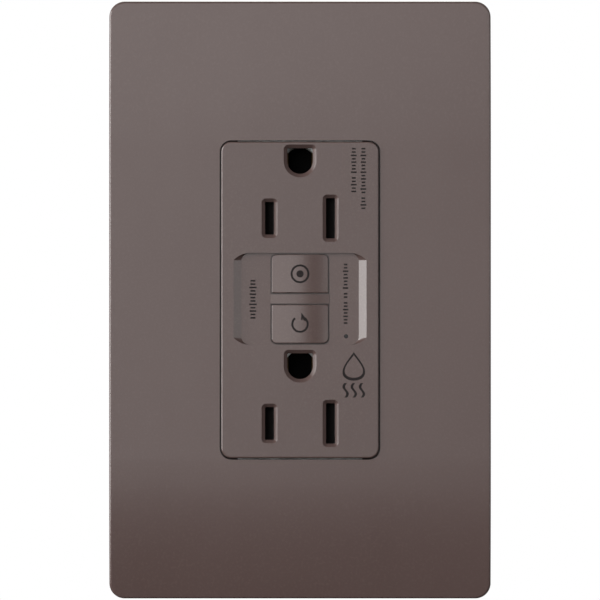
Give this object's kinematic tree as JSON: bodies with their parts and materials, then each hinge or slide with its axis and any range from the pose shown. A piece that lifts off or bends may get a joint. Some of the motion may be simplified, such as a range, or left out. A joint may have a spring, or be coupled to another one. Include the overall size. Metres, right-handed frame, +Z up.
{
  "type": "gfci outlet",
  "caption": "Ground-fault wall receptacle with test and reset buttons, shuttered blade slots, mounting strap, wiring terminals, tripping mechanism and a screwless wall plate.",
  "frame": {"origin": "on the wall plane, midway between the two screws that fasten the strap to the wall box", "axes": "+Z up, +Y into the wall, +X to the right as seen from the front"},
  "size_m": [0.0794, 0.0359, 0.1244],
  "materials": {
    "plate_plastic": "satin brown thermoplastic",
    "face_plastic": "satin brown thermoplastic",
    "button_plastic": "satin brown thermoplastic",
    "frame_plastic": "black thermoplastic",
    "housing_plastic": "dark grey glass-filled nylon",
    "insulator": "natural nylon",
    "shutter_plastic": "black acetal",
    "clear_pipe": "clear polycarbonate",
    "zinc_steel": "zinc-plated steel",
    "green_steel": "green passivated steel",
    "brass": "brass",
    "tinned_brass": "tin-plated brass",
    "silver": "silver alloy",
    "copper": "copper",
    "board_laminate": "fibreglass laminate",
    "winding_copper": "enamelled copper wire",
    "spring_steel": "spring steel",
    "component": "moulded component",
    "varistor_blue": "epoxy-coated disc",
    "lens": "tinted lens",
    "fibre": "vulcanised fibre"
  },
  "bodies": {
    "device": {"plate_frame": "frame_plastic", "plate_screws": "zinc_steel", "face_cover": "face_plastic", "reset_spring": "spring_steel", "light_pipe": "clear_pipe", "strap": "zinc_steel", "box_screws": "zinc_steel", "screw_retainers": "fibre", "hot_bus": "brass", "neutral_bus": "tinned_brass", "fixed_tips": "silver", "hot_jumper": "copper", "neutral_jumper": "copper", "line_hot_terminal": "brass", "line_neutral_terminal": "tinned_brass", "middle_frame": "insulator", "rear_housing": "housing_plastic", "housing_screws": "zinc_steel", "circuit_board": "board_laminate", "sensor_coil": "winding_copper", "neutral_coil": "winding_copper", "coil_case": "component", "bobbin": "insulator", "winding": "winding_copper", "solenoid_frame": "zinc_steel", "plunger_spring": "spring_steel", "test_contact": "copper", "led": "lens", "varistor": "varistor_blue", "capacitors": "component", "chip": "component", "resistors": "component", "upper_shutter_tray": "insulator", "upper_shutter_spring": "spring_steel", "upper_ground_contact": "brass", "lower_shutter_tray": "insulator", "lower_shutter_spring": "spring_steel", "lower_ground_contact": "brass"},
    "plate": {"wall_plate": "plate_plastic"},
    "test_key": {"test_button": "button_plastic"},
    "reset_key": {"reset_button": "button_plastic", "reset_pin": "zinc_steel"},
    "upper_slider": {"upper_shutter": "shutter_plastic"},
    "lower_slider": {"lower_shutter": "shutter_plastic"},
    "core": {"plunger": "zinc_steel"},
    "catch": {"latch_plate": "zinc_steel"},
    "lifter": {"latch_block": "insulator"},
    "hot_switch": {"hot_arm": "copper", "hot_tip": "silver"},
    "neutral_switch": {"neutral_arm": "copper", "neutral_tip": "silver"},
    "earth_screw": {"ground_screw": "green_steel"},
    "line_hot_screw_body": {"line_hot_screw": "brass"},
    "line_hot_clamp_body": {"line_hot_clamp": "zinc_steel"},
    "line_neutral_screw_body": {"line_neutral_screw": "tinned_brass"},
    "line_neutral_clamp_body": {"line_neutral_clamp": "zinc_steel"},
    "load_hot_screw_body": {"load_hot_screw": "brass"},
    "load_hot_clamp_body": {"load_hot_clamp": "zinc_steel"},
    "load_neutral_screw_body": {"load_neutral_screw": "tinned_brass"},
    "load_neutral_clamp_body": {"load_neutral_clamp": "zinc_steel"}
  },
  "joints": [
    {"name": "plate_snap", "type": "slide", "parent": "device", "child": "plate", "axis": [0, -1, 0], "range_m": [0, 0.012]},
    {"name": "test_press", "type": "slide", "parent": "device", "child": "test_key", "axis": [0, 1, 0], "range_m": [0, 0.0015], "stiffness_N_per_m": 900, "springref_m": -0.0006, "deforming": ["test_contact"]},
    {"name": "reset_press", "type": "slide", "parent": "device", "child": "reset_key", "axis": [0, 1, 0], "range_m": [-0.001, 0.0012], "stiffness_N_per_m": 600, "deforming": ["reset_spring"]},
    {"name": "upper_shutter_slide", "type": "slide", "parent": "device", "child": "upper_slider", "axis": [1, 0, 0], "range_m": [0, 0.0022], "stiffness_N_per_m": 180, "springref_m": -0.0008, "deforming": ["upper_shutter_spring"]},
    {"name": "lower_shutter_slide", "type": "slide", "parent": "device", "child": "lower_slider", "axis": [1, 0, 0], "range_m": [0, 0.0022], "stiffness_N_per_m": 180, "springref_m": -0.0008, "deforming": ["lower_shutter_spring"]},
    {"name": "plunger_strike", "type": "slide", "parent": "device", "child": "core", "axis": [0, 0, 1], "range_m": [0, 0.0012], "stiffness_N_per_m": 300, "springref_m": -0.0005, "deforming": ["plunger_spring"]},
    {"name": "lifter_drop", "type": "slide", "parent": "device", "child": "lifter", "axis": [0, 1, 0], "range_m": [0, 0.0015]},
    {"name": "catch_slide", "type": "slide", "parent": "lifter", "child": "catch", "axis": [0, 0, 1], "range_m": [0, 0.0012]},
    {"name": "hot_switch_swing", "type": "hinge", "parent": "device", "child": "hot_switch", "pos_m": [-0.0085, 0.0168, 0.0116], "axis": [1, 0, 0], "range_deg": [0, 5.5]},
    {"name": "neutral_switch_swing", "type": "hinge", "parent": "device", "child": "neutral_switch", "pos_m": [0.0085, 0.0168, 0.0116], "axis": [1, 0, 0], "range_deg": [0, 5.5]},
    {"name": "earth_screw_out", "type": "slide", "parent": "device", "child": "earth_screw", "axis": [-1, 0, 0], "range_m": [0, 0.003]},
    {"name": "line_hot_screw_turn", "type": "hinge", "parent": "device", "child": "line_hot_screw_body", "pos_m": [-0.0189, 0.009, -0.023], "axis": [-1, 0, 0], "range_deg": [0, 1078]},
    {"name": "line_hot_clamp_slide", "type": "slide", "parent": "device", "child": "line_hot_clamp_body", "axis": [1, 0, 0], "range_m": [0, 0.00238]},
    {"name": "line_neutral_screw_turn", "type": "hinge", "parent": "device", "child": "line_neutral_screw_body", "pos_m": [0.0189, 0.009, -0.023], "axis": [1, 0, 0], "range_deg": [0, 1078]},
    {"name": "line_neutral_clamp_slide", "type": "slide", "parent": "device", "child": "line_neutral_clamp_body", "axis": [-1, 0, 0], "range_m": [0, 0.00238]},
    {"name": "load_hot_screw_turn", "type": "hinge", "parent": "device", "child": "load_hot_screw_body", "pos_m": [-0.0189, 0.009, 0.023], "axis": [-1, 0, 0], "range_deg": [0, 1078]},
    {"name": "load_hot_clamp_slide", "type": "slide", "parent": "device", "child": "load_hot_clamp_body", "axis": [1, 0, 0], "range_m": [0, 0.00238]},
    {"name": "load_neutral_screw_turn", "type": "hinge", "parent": "device", "child": "load_neutral_screw_body", "pos_m": [0.0189, 0.009, 0.023], "axis": [1, 0, 0], "range_deg": [0, 1078]},
    {"name": "load_neutral_clamp_slide", "type": "slide", "parent": "device", "child": "load_neutral_clamp_body", "axis": [-1, 0, 0], "range_m": [0, 0.00238]}
  ],
  "couplings": [
    {"joint": "catch_slide", "follows": "plunger_strike", "ratio": 1},
    {"joint": "hot_switch_swing", "follows": "lifter_drop", "rad_per_m": 63.9},
    {"joint": "neutral_switch_swing", "follows": "lifter_drop", "rad_per_m": 63.9},
    {"joint": "line_hot_screw_turn", "follows": "line_hot_clamp_slide", "rad_per_m": 7915.8},
    {"joint": "line_neutral_screw_turn", "follows": "line_neutral_clamp_slide", "rad_per_m": 7915.8},
    {"joint": "load_hot_screw_turn", "follows": "load_hot_clamp_slide", "rad_per_m": 7915.8},
    {"joint": "load_neutral_screw_turn", "follows": "load_neutral_clamp_slide", "rad_per_m": 7915.8}
  ]
}
